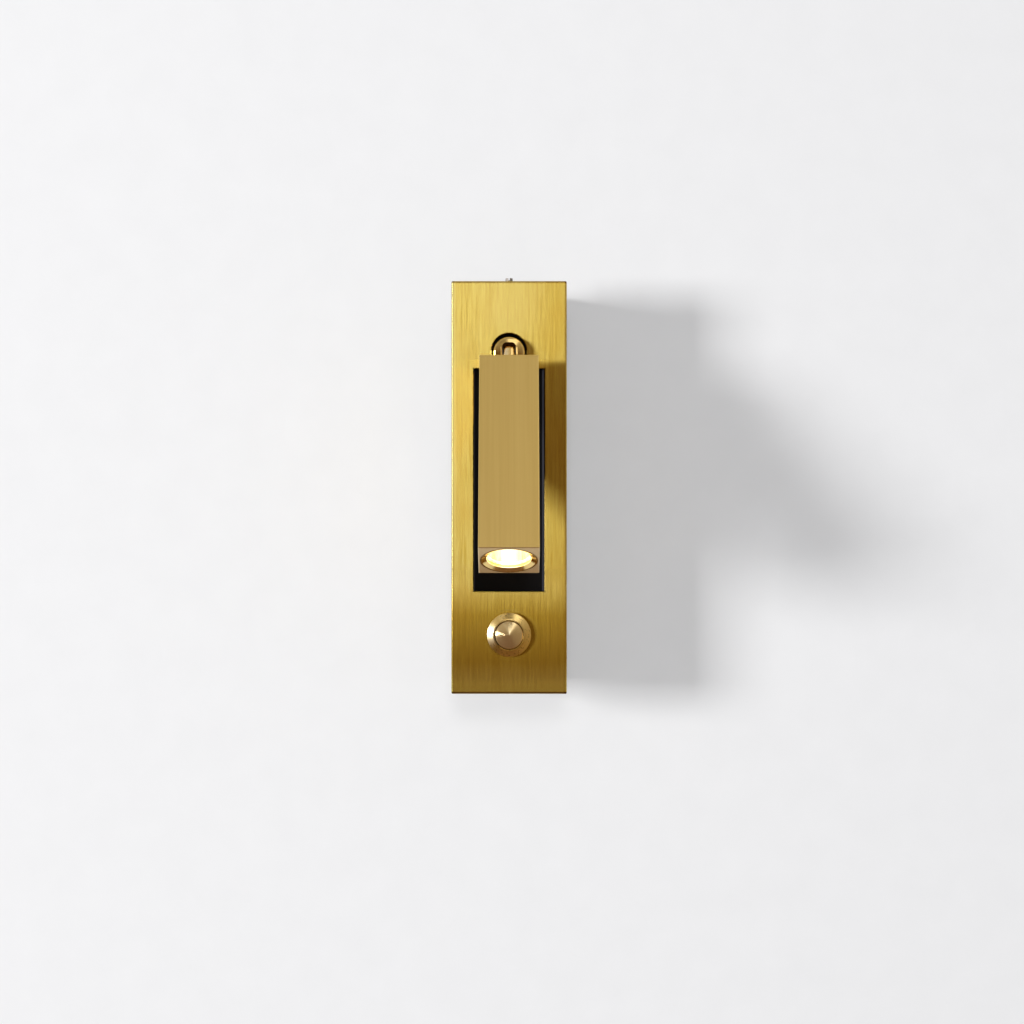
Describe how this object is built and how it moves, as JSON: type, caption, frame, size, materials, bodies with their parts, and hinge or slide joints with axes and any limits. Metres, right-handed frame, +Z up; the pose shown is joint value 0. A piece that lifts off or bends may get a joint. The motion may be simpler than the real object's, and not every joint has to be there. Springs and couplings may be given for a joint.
{
  "type": "recessed reading wall light",
  "caption": "Slim upright wall light with a brushed brass plate, a square head that folds into a black recess, and a round push switch.",
  "frame": {"origin": "centre of the back face of the box, level with the middle of the front plate", "axes": "+Z up, front plate towards -Y, +X to the right seen from the front"},
  "size_m": [0.0474, 0.0873, 0.1722],
  "materials": {
    "plate_brass": "brushed upright, satin lacquer",
    "head_brass": "finely brushed along the head",
    "polished_brass": "polished",
    "switch_brass": "turned",
    "plain_brass": "plain",
    "black_sheet": "matt black paint on steel sheet",
    "plated_steel": "zinc plated",
    "black_rubber": "matt",
    "white_rubber": "matt silicone",
    "white_plastic": "matt",
    "black_plastic": "matt",
    "foam": "closed-cell foam",
    "lead_insulation": "smooth insulation",
    "aluminium": "turned",
    "white_board": "white solder mask",
    "led_phosphor": "phosphor under clear silicone",
    "reflector_gold": "bright gold mirror coating",
    "clear_glass": "clear"
  },
  "bodies": {
    "wall_unit": {"front_plate": "plate_brass", "plate_studs": "plated_steel", "stud_nuts": "plated_steel", "recess_pocket": "black_sheet", "back_box": "black_sheet", "cable_bushing": "black_rubber", "earth_stud": "plated_steel", "earth_nut": "plain_brass", "terminal_block": "white_plastic", "terminal_screws": "plated_steel", "led_driver": "white_plastic", "driver_pad": "foam", "mains_leads": "lead_insulation", "switch_lead": "lead_insulation", "lamp_leads": "lead_insulation", "top_set_screw": "plated_steel", "set_screw_nut": "plated_steel", "knuckle": "polished_brass", "knuckle_washer": "plated_steel", "knuckle_nut": "plated_steel", "hinge_pin": "plated_steel", "friction_washers": "black_plastic", "switch_shell": "switch_brass", "switch_gasket": "black_rubber", "switch_nut": "plated_steel", "switch_base": "black_plastic", "switch_tags": "plain_brass", "switch_spring": "plated_steel"},
    "head": {"head_tongue": "polished_brass", "tongue_nut": "plated_steel", "head_housing": "head_brass", "heat_sink": "aluminium", "led_board": "white_board", "led_chip": "led_phosphor", "board_screws": "plated_steel", "reflector": "reflector_gold", "glass_gasket": "white_rubber", "front_glass": "clear_glass", "lens_ring": "polished_brass", "head_leads": "lead_insulation"},
    "button": {"switch_cap": "switch_brass"}
  },
  "joints": [
    {"name": "head_tilt", "type": "hinge", "parent": "wall_unit", "child": "head", "pos_m": [0, -0.036, 0.0554], "axis": [-1, 0, 0], "range_deg": [-25.6, 64.4]},
    {"name": "switch_press", "type": "slide", "parent": "wall_unit", "child": "button", "axis": [0, 1, 0], "range_m": [0, 0.0015], "stiffness_N_per_m": 300, "springref_m": -0.004, "deforming": ["switch_spring"]}
  ]
}
